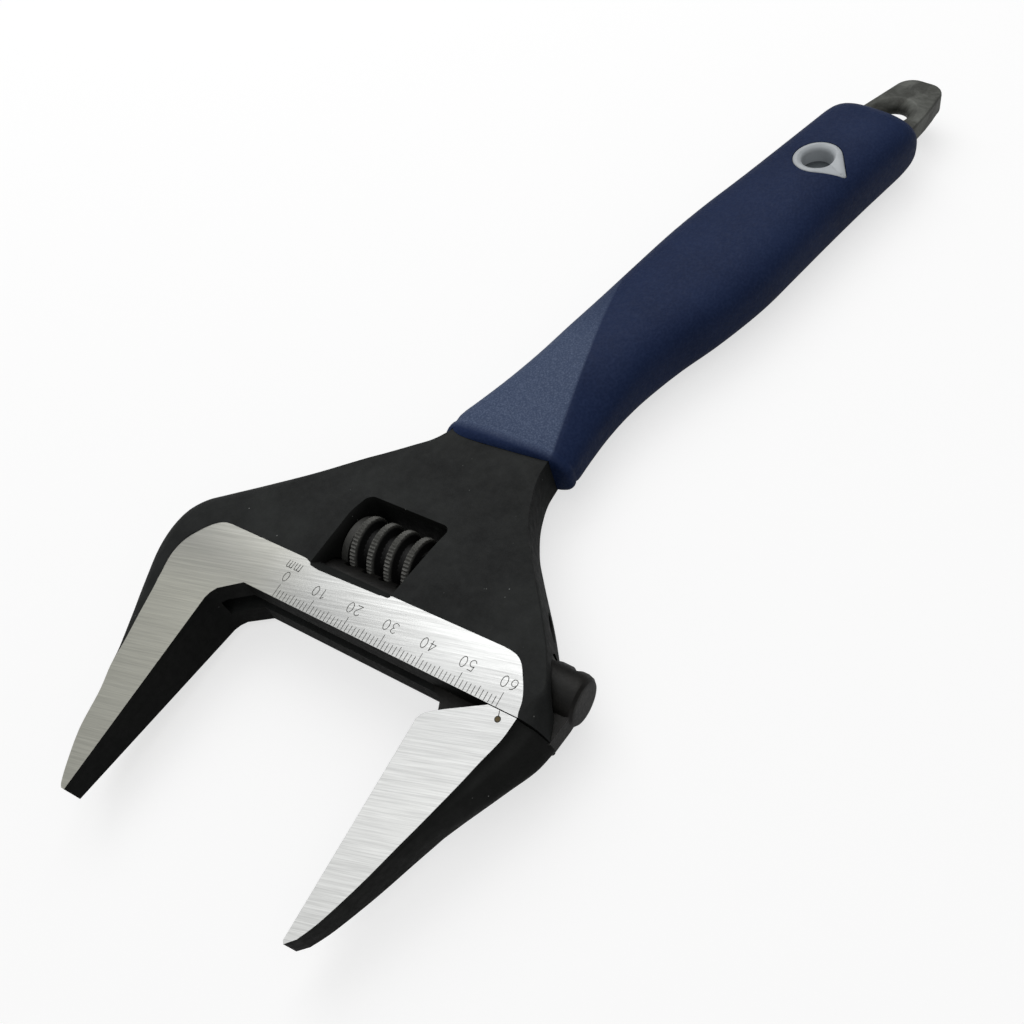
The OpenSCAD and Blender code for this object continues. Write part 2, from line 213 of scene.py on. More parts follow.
def combine(piece, others, operation="DIFFERENCE"):
    """Cut other objects from a piece, or keep what they share, and delete them."""
    for other in others:
        step = piece.modifiers.new("step", "BOOLEAN")
        step.operation = operation
        step.solver = "EXACT"
        step.object = other
        bpy.context.view_layer.update()
        bake(piece)
        mesh = other.data
        bpy.data.objects.remove(other)
        bpy.data.meshes.remove(mesh)


def join(name, parts):
    """One mesh from several objects, which need not be welded."""
    work = bmesh.new()
    for part in parts:
        work.from_mesh(part.data)
    mesh = bpy.data.meshes.new(name)
    work.to_mesh(mesh)
    work.free()
    for part in parts:
        old = part.data
        bpy.data.objects.remove(part)
        bpy.data.meshes.remove(old)
    return new_object(name, mesh)


def shade(piece, degrees):
    """Smooth faces, with edges sharper than the angle left crisp and flat faces kept flat."""
    work = bmesh.new()
    work.from_mesh(piece.data)
    bmesh.ops.remove_doubles(work, verts=work.verts, dist=0.4e-6)
    for face in work.faces:
        face.smooth = True
    for edge in work.edges:
        if len(edge.link_faces) == 2:
            edge.smooth = edge.calc_face_angle(0) < math.radians(degrees)
    work.to_mesh(piece.data)
    work.free()
    even = piece.modifiers.new("even", "WEIGHTED_NORMAL")
    even.keep_sharp = True
    even.weight = 60


def dress(piece, body, material, stands_for=()):
    """Give a piece its body, material and slot, and hide the CAD nodes that it stands for."""
    if material is not None:
        piece.data.materials.clear()
        piece.data.materials.append(material)
    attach(piece, body)
    if stands_for:
        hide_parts(*stands_for)


# ---------------------------------------------------------------- materials


class Look:
    """A principled material whose textures are laid out in mm of the object's own space."""

    def __init__(self, name, color, roughness, metallic=0.0, specular=0.5):
        self.material = bpy.data.materials.new(name)
        self.material.use_nodes = True
        self.tree = self.material.node_tree
        self.shader = self.tree.nodes["Principled BSDF"]
        self.shader.inputs["Base Color"].default_value = (*color, 1)
        self.shader.inputs["Roughness"].default_value = roughness
        self.shader.inputs["Metallic"].default_value = metallic
        self.shader.inputs["Specular IOR Level"].default_value = specular
        self.material.diffuse_color = (*color, 1)
        self.place = self.tree.nodes.new("ShaderNodeTexCoord").outputs["Object"]

    def link(self, start, end):
        self.tree.links.new(start, end)

    def mapped(self, scale=(1, 1, 1), turn=0.0):
        """Place in mm, turned about Z and then scaled."""
        turned = self.tree.nodes.new("ShaderNodeMapping")
        turned.inputs["Rotation"].default_value = (0, 0, turn)
        self.link(self.place, turned.inputs["Vector"])
        scaled = self.tree.nodes.new("ShaderNodeMapping")
        scaled.inputs["Scale"].default_value = tuple(s / MM for s in scale)
        self.link(turned.outputs["Vector"], scaled.inputs["Vector"])
        return scaled.outputs["Vector"]

    def reach(self, direction):
        """Distance in mm along a direction of the shared frame."""
        node = self.tree.nodes.new("ShaderNodeVectorMath")
        node.operation = "DOT_PRODUCT"
        node.inputs[1].default_value = direction
        self.link(self.mapped(), node.inputs[0])
        return node.outputs["Value"]

    def noise(self, scale, detail=4.0, rough=0.55, vector=None, distortion=0.0):
        node = self.tree.nodes.new("ShaderNodeTexNoise")
        node.inputs["Scale"].default_value = scale
        node.inputs["Detail"].default_value = detail
        node.inputs["Roughness"].default_value = rough
        node.inputs["Distortion"].default_value = distortion
        self.link(vector or self.mapped(), node.inputs["Vector"])
        return node.outputs["Fac"]

    def cells(self, scale, feature="F1"):
        node = self.tree.nodes.new("ShaderNodeTexVoronoi")
        node.feature = feature
        node.inputs["Scale"].default_value = scale
        self.link(self.mapped(), node.inputs["Vector"])
        return node.outputs["Distance"]

    def ramp(self, fac, low, high, start=0.0, end=1.0):
        """Start where fac is low, end where it is high, and held there beyond."""
        node = self.tree.nodes.new("ShaderNodeMapRange")
        node.clamp = True
        node.inputs["From Min"].default_value = low
        node.inputs["From Max"].default_value = high
        node.inputs["To Min"].default_value = start
        node.inputs["To Max"].default_value = end
        self.link(fac, node.inputs["Value"])
        return node.outputs["Result"]

    def math(self, operation, first, second):
        node = self.tree.nodes.new("ShaderNodeMath")
        node.operation = operation
        for value, socket in ((first, node.inputs[0]), (second, node.inputs[1])):
            if isinstance(value, (int, float)):
                socket.default_value = value
            else:
                self.link(value, socket)
        return node.outputs[0]

    def mix(self, fac, first, second):
        node = self.tree.nodes.new("ShaderNodeMix")
        node.data_type = "RGBA"
        self.link(fac, node.inputs["Factor"])
        sockets = [s for s in node.inputs if s.type == "RGBA"]
        for value, socket in zip((first, second), sockets):
            if isinstance(value, tuple):
                socket.default_value = (*value, 1)
            else:
                self.link(value, socket)
        return [s for s in node.outputs if s.type == "RGBA"][0]

    def color(self, output):
        self.link(output, self.shader.inputs["Base Color"])

    def roughness(self, output):
        self.link(output, self.shader.inputs["Roughness"])

    def bump(self, height, distance, strength=1.0):
        node = self.tree.nodes.new("ShaderNodeBump")
        node.inputs["Strength"].default_value = strength
        node.inputs["Distance"].default_value = distance * MM
        self.link(height, node.inputs["Height"])
        self.link(node.outputs["Normal"], self.shader.inputs["Normal"])


def srgb(*values):
    """Linear colour of red, green and blue from 0 to 255."""
    return tuple(
        (v / 255 / 12.92) if v <= 10 else ((v / 255 + 0.055) / 1.055) ** 2.4
        for v in values
    )


def shifted(tone, step):
    return srgb(*[max(0, v + step) for v in tone])


def dimmed(tone):
    return srgb(*[v * 0.87 for v in tone])


def black_steel(name="black_phosphate", base=(30, 31, 31), light=(50, 52, 51)):
    """Matt black finish with pale clouds and a few bright specks."""
    look = Look(name, srgb(*base), 0.66, 0.0, 0.1)
    cloud = look.ramp(look.noise(0.09, 5.0, 0.6), 0.35, 0.72)
    fine = look.ramp(look.noise(2.2, 3.0, 0.6), 0.3, 0.75)
    body = look.mix(look.math("MULTIPLY", cloud, 0.75), srgb(*base), srgb(*light))
    body = look.mix(look.math("MULTIPLY", fine, 0.3), body, srgb(*light))
    specks = look.ramp(look.cells(0.42), 0.075, 0.03)
    rare = look.ramp(look.noise(0.11, 2.0), 0.56, 0.66)
    body = look.mix(
        look.math("MULTIPLY", look.math("MULTIPLY", specks, rare), 0.75),
        body,
        srgb(150, 152, 150),
    )
    look.color(body)
    look.roughness(look.ramp(look.noise(0.6, 4.0), 0.3, 0.7, 0.52, 0.7))
    look.bump(look.noise(2.6, 4.0, 0.65), 0.07, 0.7)
    return look.material


def ground_steel(name, turn, start, tint_and_light_zones):
    """Brushed steel; each zone is a direction, a range along it and a tone: painted reflection,
    brighter or darker by where the light falls, and on the body a beige tint as well.
    """
    look = Look(name, srgb(*start), 0.36, 1.0)
    long_streaks = look.noise(1.0, 5.0, 0.6, look.mapped((0.05, 2.6, 0.5), turn), 0.2)
    fine_streaks = look.noise(1.0, 5.0, 0.7, look.mapped((0.12, 9.0, 1.0), turn))
    both = look.math(
        "ADD",
        look.math("MULTIPLY", long_streaks, 0.55),
        look.math("MULTIPLY", fine_streaks, 0.45),
    )
    streaks = look.ramp(both, 0.38, 0.62)
    body = look.mix(streaks, dimmed(start), srgb(*start))
    for direction, low, high, tone in tint_and_light_zones:
        here = look.mix(streaks, dimmed(tone), srgb(*tone))
        body = look.mix(look.ramp(look.reach(direction), low, high), body, here)
    look.color(body)
    look.roughness(look.ramp(both, 0.35, 0.65, 0.42, 0.34))
    look.bump(both, 0.02, 0.4)
    return look.material


def rubber():
    """Navy rubber with a fine grain, and painted sheen on a panel near the head that is grained
    like leather.
    """
    look = Look("navy_rubber", srgb(24, 37, 68), 0.6, 0.0, 0.1)
    wander = look.noise(0.6, 3.0)
    grain = look.cells(1.5, "SMOOTH_F1")
    pores = look.noise(1.9, 5.0, 0.62)
    height = look.math(
        "ADD", look.math("MULTIPLY", grain, 0.8), look.math("MULTIPLY", pores, 0.7)
    )
    clouds = look.ramp(look.noise(0.05, 3.0), 0.35, 0.7)
    body = look.mix(clouds, srgb(24, 37, 68), srgb(30, 44, 77))
    raised = look.math("MULTIPLY", look.ramp(height, 0.55, 0.95), 0.25)
    body = look.mix(raised, body, srgb(50, 64, 98))
    # painted sheen: the paler panel, where light glances off the flatter top, lies near the head
    # and ends at the slanting crease
    across = look.reach((math.cos(LEAN), -math.sin(LEAN), 0))
    along = look.reach((math.sin(LEAN), math.cos(LEAN), 0))
    past = look.math("ADD", across, look.math("MULTIPLY", along, 0.5))
    before_crease = look.ramp(past, 70.6, 71.4, 1.0, 0.0)
    fading_back = look.ramp(along, 98, 132, 1.0, 0.0)
    sheen_panel = look.math("MULTIPLY", before_crease, fading_back)
    behind_bead = look.ramp(look.reach((0, 1, 0)), 57.6, 60.2)
    sheen_panel = look.math("MULTIPLY", sheen_panel, behind_bead)
    speck = look.ramp(look.noise(2.3, 3.0, 0.6), 0.44, 0.72)
    # painted sheen: pale grained specks over the panel
    leather_sheen = look.mix(speck, srgb(66, 79, 106), srgb(98, 111, 137))
    body = look.mix(look.math("MULTIPLY", sheen_panel, 0.95), body, leather_sheen)
    look.color(body)
    look.roughness(look.ramp(wander, 0.3, 0.7, 0.46, 0.6))
    look.bump(height, 0.16, 0.55)
    return look.material


def plastic(name, tone):
    look = Look(name, srgb(*tone), 0.42, 0.0, 0.45)
    haze = look.ramp(look.noise(0.35, 4.0), 0.3, 0.7)
    look.color(look.mix(haze, shifted(tone, -7), shifted(tone, 3)))
    look.bump(look.noise(3.5, 3.0), 0.02, 0.5)
    return look.material


def worn_steel(name, base=(60, 61, 57), light=(104, 106, 101), dark=(42, 40, 35)):
    """Bare or blackened steel, rubbed pale in patches and stained in others."""
    look = Look(name, srgb(*base), 0.5, 0.35, 0.3)
    patches = look.ramp(look.noise(0.13, 4.0, 0.6, distortion=0.8), 0.42, 0.66)
    stains = look.ramp(look.noise(0.21, 5.0, 0.62, distortion=1.2), 0.5, 0.72)
    fine = look.ramp(look.noise(1.6, 4.0, 0.7), 0.3, 0.75)
    body = look.mix(patches, srgb(*base), srgb(*light))
    body = look.mix(look.math("MULTIPLY", stains, 0.8), body, srgb(*dark))
    body = look.mix(look.math("MULTIPLY", fine, 0.3), body, srgb(*light))
    look.color(body)
    look.roughness(look.ramp(fine, 0.0, 1.0, 0.38, 0.55))
    look.bump(look.noise(0.9, 5.0, 0.6), 0.1, 0.6)
    return look.material


def worm_steel():
    """Black in the roots of the thread and worn bright on its crests."""
    look = Look("worm_steel", srgb(26, 26, 26), 0.5, 0.2, 0.25)
    split = look.tree.nodes.new("ShaderNodeSeparateXYZ")
    look.link(look.mapped(), split.inputs[0])
    off, up = look.math("SUBTRACT", split.outputs["Y"], WORM_Y), split.outputs["Z"]
    squares = look.math("ADD", look.math("MULTIPLY", off, off), look.math("MULTIPLY", up, up))
    away = look.math("POWER", squares, 0.5)
    fine = look.ramp(look.noise(1.3, 4.0, 0.7), 0.3, 0.7, 0.55, 1.0)
    worn = look.math("MULTIPLY", look.ramp(away, 6.6, 7.4), fine)
    look.color(look.mix(worn, srgb(20, 20, 20), srgb(104, 104, 100)))
    look.bump(look.noise(1.6, 4.0, 0.6), 0.05, 0.5)
    return look.material


def plain(name, tone, rough, metallic=0.0):
    """One tone with a fine mottle, for marks and small parts."""
    look = Look(name, srgb(*tone), rough, metallic, 0.3)
    fine = look.ramp(look.noise(2.4, 3.0), 0.3, 0.7)
    look.color(look.mix(fine, shifted(tone, -8), shifted(tone, 6)))
    look.bump(look.noise(3.0, 3.0), 0.03, 0.5)
    return look.material


BLACK = black_steel()
# painted shade: a darker copy of the black finish for the moving jaw, whose flank faces away from
# the light
BLACK_JAW_PAINTED_SHADE = black_steel("black_phosphate_jaw_painted_shade", (22, 23, 22), (38, 39, 38))
# painted shade: a darker copy of the black finish for the shadowed faces inside the window and the
# throat
BLACK_PAINTED_SHADE = black_steel("black_phosphate_painted_shade", (17, 18, 17), (28, 29, 28))
# painted reflection: the zones darken the pad towards the throat and brighten it towards the moving
# jaw, as the reflected light falls; the beige start tone is the steel's own tint
STEEL_BODY = ground_steel(
    "ground_steel_body",
    math.radians(-13),
    (208, 208, 197),
    [
        ((0, 1, 0), -8, 3, (190, 190, 183)),
        ((1, 0, 0), 8, 24, (200, 201, 199)),
        ((1, 0, 0), 24, 62, (222, 223, 222)),
    ],
)
# painted highlight: the jaw's pad is brightened towards its tip, where the reflected light is
# brighter
STEEL_JAW = ground_steel(
    "ground_steel_jaw",
    math.radians(-17),
    (231, 232, 231),
    [((0, -1, 0), 4, 26, (252, 253, 251))],
)
RUBBER = rubber()
EYE = plastic("grey_plastic", (186, 191, 195))
TANG = worn_steel("worn_tang")
RACK = worn_steel("worn_rack", (18, 18, 17), (36, 35, 33), (15, 14, 13))
WORM = worm_steel()
INK = plain("etched_mark", (68, 67, 64), 0.7)
PUNCH = plain("punched_mark", (96, 84, 58), 0.5, 0.4)
PIN = plain("pin_steel", (92, 93, 95), 0.4, 0.9)
WIRE = plain("spring_wire", (120, 121, 124), 0.35, 0.9)
DARK = plain("dark_steel", (78, 84, 88), 0.5, 0.1)


# ---------------------------------------------------------------- head

# Each point of an outline is its x and y at mid-thickness, and then those at the top face.
right_wall = spline(
    [
        (HEAD_END, 0, HEAD_END - 6.5, 0),
        (HEAD_END - 1.8, 4, HEAD_END - 5.4, 4),
        (HEAD_END - 3.6, 7.5, HEAD_END - 4.7, 7.8),
        (79.5, 14, 78.5, 14.4),
        (75.8, 19, 75, 18.9),
        (71.4, 24.5, 70.9, 24),
        (67.6, 28.8, 67.3, 28),
        (62.9, 34.2, 62.5, 32.9),
        (59, 39, 58.3, 37.6),
        (55.8, 44.5, 54.9, 42.9),
        (54, 49.1, 52.8, 47.8),
        (53, 53.1, 51.5, 52),
        (*on_handle(36.2, 68.6), *on_handle(34.8, 68.6)),
        (*on_handle(35.2, 72), *on_handle(33.8, 72)),
    ],
    7,
)
left_wall = spline(
    [
        (*on_handle(10.6, 72), *on_handle(12.8, 72)),
        (*on_handle(9.4, 66), *on_handle(11.8, 66)),
        (22, 54.2, 24.6, 51.6),
        (17.5, 50.1, 20.7, 46.3),
        (9.9, 43.5, 13.9, 39),
        (0.3, 34.8, 5.1, 29.9),
        (-9.9, 26.4, -4.7, 21),
        (-18.3, 19.8, -13, 13.8),
        (-22.6, 16.2, -16.2, 10.8),
        (-25.2, 11.6, -17.7, 8.4),
        (-25.9, 6.5, -17.9, 5),
        (-25.3, 1, -16.7, 0.2),
        (-23.7, -4.4, -15.5, -4.4),
        (-21.2, -10, -14.1, -10),
        (-18, -16, -12.85, -16),
        (-14.4, -22.5, -11.4, -22.5),
        (-10.5, 0.53 * TIP, -10.4, 0.53 * TIP),
        (-8.4, 0.64 * TIP, -8.4, 0.64 * TIP),
        (-6.6, 0.79 * TIP, -6.6, 0.79 * TIP),
        (-3.9, 0.91 * TIP, -3.9, 0.91 * TIP),
        (-1.9, 0.98 * TIP, -1.9, 0.98 * TIP),
        (-0.9, TIP, -0.9, TIP),
    ],
    7,
)
fixed_face = [
    (x, y, x, y)
    for x, y in [(0, TIP), (0, -6.7), (0.4, -5.2), (1.3, -3.7), (6.6, 0)]
]


def edged(name, outline, halves, insets, profile, top):
    """Plate with a shaped edge between its middle outline and its top outline.

    At each point, halves is half the thickness at the edge, insets is how far inside it the flat
    starts, and top gives the height there.
    """
    n = len(outline)
    caps = []
    for i, p in enumerate(outline):
        a, b = outline[i - 1], outline[(i + 1) % n]
        run = Vector((b[2] - a[2], b[3] - a[3]))
        if i == 0:  # its neighbour is round a corner
            run = Vector((0, 1))
        run.normalize()
        caps.append((p[2] - run.y * insets[i], p[3] + run.x * insets[i]))
    rings = [[(x, y, -top(i)) for i, (x, y) in enumerate(caps)]]
    for out, up in [(o, -u) for o, u in profile[:-1]] + profile[::-1]:
        rings.append(
            [
                (p[2] + (p[0] - p[2]) * out, p[3] + (p[1] - p[3]) * out, h * up)
                for p, h in zip(outline, halves)
            ]
        )
    rings.append([(x, y, top(i)) for i, (x, y) in enumerate(caps)])
    return loft(name, rings)


def quarter(count):
    """Edge profile that is a quarter of an ellipse."""
    return [
        (
            math.cos(math.pi / 2 * (1 - k / count)),
            math.sin(math.pi / 2 * (1 - k / count)),
        )
        for k in range(count + 1)
    ]


def head_half(index, point):
    """Half thickness of the head at a point of its outline."""
    y = point[3]
    if y >= 12:
        return RIM
    t = smooth_step(y, 0, 8) if index < len(right_wall) else smooth_step(y, -8, 4)
    return ground(y) + (RIM - ground(y)) * t


def pad_plan():
    """Outline of the ground pad, which runs past the head at the fixed jaw and the throat."""
    corner_right = [
        (80.9, -0.6), (80.3, 0.7), (79.8, 3), (78.8, 5.2),
        (77.2, 7.6), (75.5, 9.8), (73.4, 11.1), (70.5, 11.5),
    ]
    front_of_window = [
        (41.6, 11.2), (40.6, 11.05), (39.8, 10.5), (38.5, 10.2), (21.5, 9.6),
        (19.4, 9.8), (18.2, 10.5), (17, 10.9), (15.6, 11),
    ]
    corner_left = [
        (-5.5, 10.9), (-7.5, 10.85), (-9.5, 10.35), (-11.6, 8.8), (-13.6, 6.2), (-15.1, 3.6),
        (-15.9, 1), (-16.05, -1.6), (-15.6, -4.2), (-15.05, -6.2), (-14.7, -7.6),
    ]
    return (
        [(82, 2 * TIP)]
        + spline(corner_right, 4)
        + front_of_window
        + spline(corner_left, 4)
        + [(-60, -9), (-60, 2 * TIP)]
    )


# y and half thickness of the head where it thins towards the neck
thin_profile = [
    (24.5, 9.02), (26.5, 8.88), (28, 8.66), (42.5, 6.07), (44, 5.87),
    (46, NECK), (100, NECK), (100, 20), (24.5, 20),
]


def make_head():
    outline = right_wall + left_wall + fixed_face
    walls = len(right_wall) + len(left_wall)
    halves = [head_half(i, p) for i, p in enumerate(outline)]
    insets = [
        (0.22 + 2.2 * (RIM - h)) * smooth_step(p[3], -4, 0.5) if i < walls else 0
        for i, (h, p) in enumerate(zip(halves, outline))
    ]
    head = edged("wrench_head", outline, halves, insets, quarter(10), lambda i: HEAD)
    trim_faces(head)
    cut_openings(head)
    shade(head, 30)
    paint_head(head)
    return head


def trim_faces(head):
    """Thin the head towards the jaw and the neck, and lower its ground pads by a step."""
    crown = 0.14  # how far the black faces stand over the taper of the ground ones
    rise = [3 * TIP] + [2 + 8 * k / 10 for k in range(11)] + [20]
    for side in (1, -1):
        relief = prism(
            [
                (3 * TIP, side * (ground(3 * TIP) + crown)),
                (40, side * (ground(40) + crown)),
                (40, side * 20),
                (3 * TIP, side * 20),
            ],
            *ACROSS,
            "X",
        )
        thinner = prism([(y, side * z) for y, z in thin_profile], *ACROSS, "X")
        combine(head, [relief, thinner])
        waste = prism(
            [(y, side * pad_z(y)) for y in rise] + [(20, side * 14), (3 * TIP, side * 14)],
            *ACROSS,
            "X",
        )
        combine(waste, [prism(pad_plan(), -16, 16)], "INTERSECT")
        combine(head, [waste])


def cut_openings(head):
    """Slot and channel for the rack, window for the worm, and bore for its pin."""
    half, channel_r, bore_r, wide_r = 2.7, 6.5, 2.47, 2.9
    slot = prism([(-5, -half), (BAR_Y, -half), (BAR_Y, half), (-5, half)], -5, 130, "X")
    channel = lathe_x([(-60, channel_r), (120, channel_r)], BAR_Y)
    bore = lathe_x(
        [(41, bore_r), (72.2, bore_r), (73.4, wide_r), (110, wide_r)], WORM_Y, sides=48
    )
    combine(head, [slot, channel, window_cutter(), bore])


def paint_head(head):
    """Ground steel on the pads, painted shade as a darker black inside the window and the throat,
    black elsewhere.
    """
    head.data.materials.clear()
    for material in (BLACK, STEEL_BODY, BLACK_PAINTED_SHADE):
        head.data.materials.append(material)
    for face in head.data.polygons:
        spots = [head.data.vertices[i].co / MM for i in face.vertices]
        n, c = face.normal, face.center / MM
        flat = abs(n.z) > 0.9
        on_pad = all(abs(abs(p.z) - pad_z(p.y)) < 0.03 and p.y < 12 for p in spots)
        # painted shade: the walls inside the window and the faces of the throat and slot take the
        # darker black
        window_shade = 18 < c.x < 44 and 12.1 < c.y < 32
        throat_shade = c.x < 79 and c.y < 9.6 and (
            (n.x > 0.4 and c.x > -6)
            or (n.y < -0.4 and c.y > -6 and c.x > -6)
            or (abs(c.z) < 4.6 and c.x > -5)
        )
        if flat:
            face.material_index = 1 if on_pad else 0
        else:
            face.material_index = 2 if window_shade or throat_shade else 0


def arc(cx, cy, rx, ry, start, stop, count=10):
    """Points on a part of an ellipse, between two angles in degrees."""
    turns = [math.radians(start + (stop - start) * k / count) for k in range(count + 1)]
    return [(cx + rx * math.cos(a), cy + ry * math.sin(a)) for a in turns]


def window_cutter():
    """Opening for the worm, which flares towards the faces, most of all at its front."""
    left, right, front, back = 19.5, 42.7, 12.3, 31.2
    small = 0.7

    def plan(out, low):
        big = 1.6 + out
        corners = [
            (right + 0.25 * out - 0.72 * low - small, front - 0.78 * low + small, small, -90),
            (right + 0.25 * out - big, back + out - big, big, 0),
            (left - out + big, back + out - big, big, 90),
            (left - out + small, front - low + small, small, 180),
        ]
        return [p for x, y, r, start in corners for p in arc(x, y, r, r, start, start + 90, 8)]

    # height, how far out the sides and the back go, how far down the front goes
    flare = [
        (6.3, 0, 0), (7.2, 0.12, 0.75), (8, 0.35, 1.6),
        (8.6, 0.7, 2.25), (9.05, 1.15, 2.62), (14, 1.5, 2.9),
    ]
    rings = [[(x, y, -z) for x, y in plan(out, low)] for z, out, low in flare[::-1]]
    rings += [[(x, y, z) for x, y in plan(out, low)] for z, out, low in flare]
    return loft("cutter", rings)


dress(make_head(), "handle", None, ["wrench_body"])


# ---------------------------------------------------------------- engraved scale


def stroke(points, width, lift=0.02):
    """Flat ribbon along a line of points on the ground face."""
    fine = [points[0]]
    for (x0, y0), (x1, y1) in zip(points, points[1:]):
        count = math.ceil(math.dist((x0, y0), (x1, y1)) / 0.3) or 1
        fine += [
            (x0 + (x1 - x0) * k / count, y0 + (y1 - y0) * k / count)
            for k in range(1, count + 1)
        ]
    verts, faces = [], []
    for (x0, y0), (x1, y1) in zip(fine, fine[1:]):
        run = Vector((x1 - x0, y1 - y0))
        if run.length < 1e-6:
            continue
        run.normalize()
        side = Vector((-run.y, run.x)) * width / 2
        end = run * width * 0.35
        base = len(verts)
        for x, y in (
            (x0 - end.x - side.x, y0 - end.y - side.y),
            (x1 + end.x - side.x, y1 + end.y - side.y),
            (x1 + end.x + side.x, y1 + end.y + side.y),
            (x0 - end.x + side.x, y0 - end.y + side.y),
        ):
            verts.append((x, y, pad_z(y) + lift))
        faces.append([base, base + 1, base + 2, base + 3])
    return verts, faces


def glyph(sign):
    """Strokes of a figure, or of the letter m, in a box 0.62 wide and 1 high."""
    if sign == "0":
        return [arc(0.31, 0.5, 0.29, 0.5, 0, 360, 20)]
    if sign == "1":
        return [[(0.12, 0.78), (0.36, 1), (0.36, 0)]]
    if sign == "2":
        return [arc(0.31, 0.71, 0.28, 0.29, 165, -35) + [(0.03, 0), (0.6, 0)]]
    if sign == "3":
        return [
            arc(0.29, 0.75, 0.26, 0.25, 155, -80),
            arc(0.29, 0.26, 0.3, 0.26, 85, -155),
        ]
    if sign == "4":
        return [[(0.47, 0), (0.47, 1), (0.02, 0.3), (0.62, 0.3)]]
    if sign == "5":
        return [[(0.55, 1), (0.12, 1), (0.07, 0.55)] + arc(0.29, 0.32, 0.3, 0.32, 125, -155)]
    if sign == "6":
        return [
            arc(0.31, 0.31, 0.28, 0.31, 0, 360, 18),
            [(0.5, 0.97), (0.24, 0.86), (0.08, 0.6), (0.03, 0.31)],
        ]
    return [
        [(0, 0), (0, 0.68)],
        [(0, 0.45)] + arc(0.16, 0.5, 0.15, 0.18, 150, 0, 6) + [(0.31, 0)],
        [(0.31, 0.45)] + arc(0.47, 0.5, 0.15, 0.18, 150, 0, 6) + [(0.62, 0)],
    ]


def make_scale():
    verts, faces = [], []

    def add(points, width):
        new_verts, new_faces = stroke(points, width)
        base = len(verts)
        verts.extend(new_verts)
        faces.extend([[base + i for i in face] for face in new_faces])

    zero, longest, tick_width, pen = 15.44, 60, 0.13, 0.15
    for k in range(longest + 1):
        top = 3.1 if k % 10 == 0 else (2.3 if k % 5 == 0 else 1.9)
        add([(zero + k, 0.12), (zero + k, top)], tick_width)

    def write(text, centre, middle, height):
        """Signs that read from the handle's side."""
        wide = 0.62 * height
        gap = 0.3 * height
        total = len(text) * wide + (len(text) - 1) * gap
        for i, sign in enumerate(text):
            start = centre + total / 2 - i * (wide + gap)
            for line in glyph(sign):
                spots = [(start - x * height, middle + height / 2 - y * height) for x, y in line]
                add(spots, pen)

    for k in range(7):
        write(str(10 * k), zero + 10 * k + 0.05, 5.2, 2.3)
    write("mm", 15.5, 7.75, 2.5)
    return make("engraved_scale", verts, faces)


dress(make_scale(), "handle", INK)


# ---------------------------------------------------------------- shank and tang


def make_tang():
    left, right, end, corner = 20.5, 24.4, 244.9, 5.5
    hole_at = (22, 228.2)

    def plan(inset):
        r = corner - inset
        right_side = [(32.2, 205), (32.2, 220), (32, 224.5), (31.4, 231), (30.7, 235.5)]
        outline = [(across - inset, along) for across, along in right_side]
        outline += arc(right, end - corner, r, r, 0, 90, 12)
        outline += arc(left, end - corner, r, r, 90, 170, 12)
        outline += [(12.3 + inset, 223), (12.2 + inset, 220), (12.2 + inset, 205)]
        return [on_handle(*p) for p in outline]

    # height and how far the edge lies in
    edge = [(2.2, 0), (2.6, 0.08), (2.88, 0.3), (3, 0.7)]
    levels = [(-z, inset) for z, inset in edge[::-1]] + edge
    tang = loft("tang", [[(x, y, z) for x, y in plan(inset)] for z, inset in levels])
    # height and radius of the hole's wall
    flare = [
        (0.3, 4), (0.9, 4.15), (1.6, 4.7), (2.2, 5.5),
        (2.7, 6.4), (3, 7.1), (3.4, 8.2), (8, 9),
    ]
    combine(tang, [lathe_z([(-z, r) for z, r in flare[::-1]] + flare, *hole_at)])
    shank_plan = [(12, 66), (33.8, 66), (31.2, 90), (30.2, 100), (32.3, 216), (12.4, 216)]
    shank = prism([on_handle(*p) for p in shank_plan], -5.5, 5.5)
    made = join("shank_and_tang", [tang, shank])
    shade(made, 28)
    return made


dress(make_tang(), "handle", TANG, ["wrench_body"])


# ---------------------------------------------------------------- moving jaw

# how far the flank lies from the gripping face at mid-thickness, its y, and how far at the top face
jaw_flank = [
    (JAW + middle, y, JAW + top, y)
    for middle, y, top in spline(
        [
            (2.3, 0.966 * TIP, 2.3),
            (4.6, 0.885 * TIP, 4.5),
            (7.9, 0.726 * TIP, 7.7),
            (11.1, 0.556 * TIP, 10.6),
            (13.4, -25, 12.1),
            (16, -20.2, 13.6),
            (18.8, -15.3, 15.1),
            (21.5, -10.3, 16.5),
            (24.2, -5, 18.1),
            (25.4, -0.2, 18.7),
        ],
        7,
    )
]
jaw_rest = [
    (JAW + x, y, JAW + x, y)
    for x, y in [
        (12.05, -0.2), (4.5, -4.6), (1.8, -6.3), (0.45, -7.55),
        (0, -8.8), (0, TIP + 0.5), (0.45, TIP),
    ]
]


def make_jaw():
    outline = jaw_flank + jaw_rest
    halves = [ground(p[3]) for p in outline]
    # share of the way out from the top outline, and share of the half thickness
    profile = [
        (0, 1), (0.03, 0.95), (0.1, 0.87), (0.2, 0.815), (0.33, 0.775), (0.46, 0.745), (0.55, 0.7),
        (0.64, 0.62), (0.74, 0.51), (0.83, 0.39), (0.91, 0.26), (0.975, 0.12), (1, 0),
    ]
    insets = [0.02] * len(outline)
    jaw = edged("jaw_plate", outline, halves, insets, profile, lambda i: halves[i])
    shade(jaw, 30)
    # painted shade: the jaw's black faces take the darker copy of the finish
    jaw.data.materials.append(BLACK_JAW_PAINTED_SHADE)
    jaw.data.materials.append(STEEL_JAW)
    # the pads are the only large faces that follow the taper
    slope = Vector((0, -TAPER, 1)).normalized()
    for face in jaw.data.polygons:
        n = face.normal
        if Vector((n.x, n.y, abs(n.z))).dot(slope) > 0.9999 and face.area > 1e-4:
            face.material_index = 1
    return jaw


dress(make_jaw(), "moving_jaw", None, ["moving_jaw"])


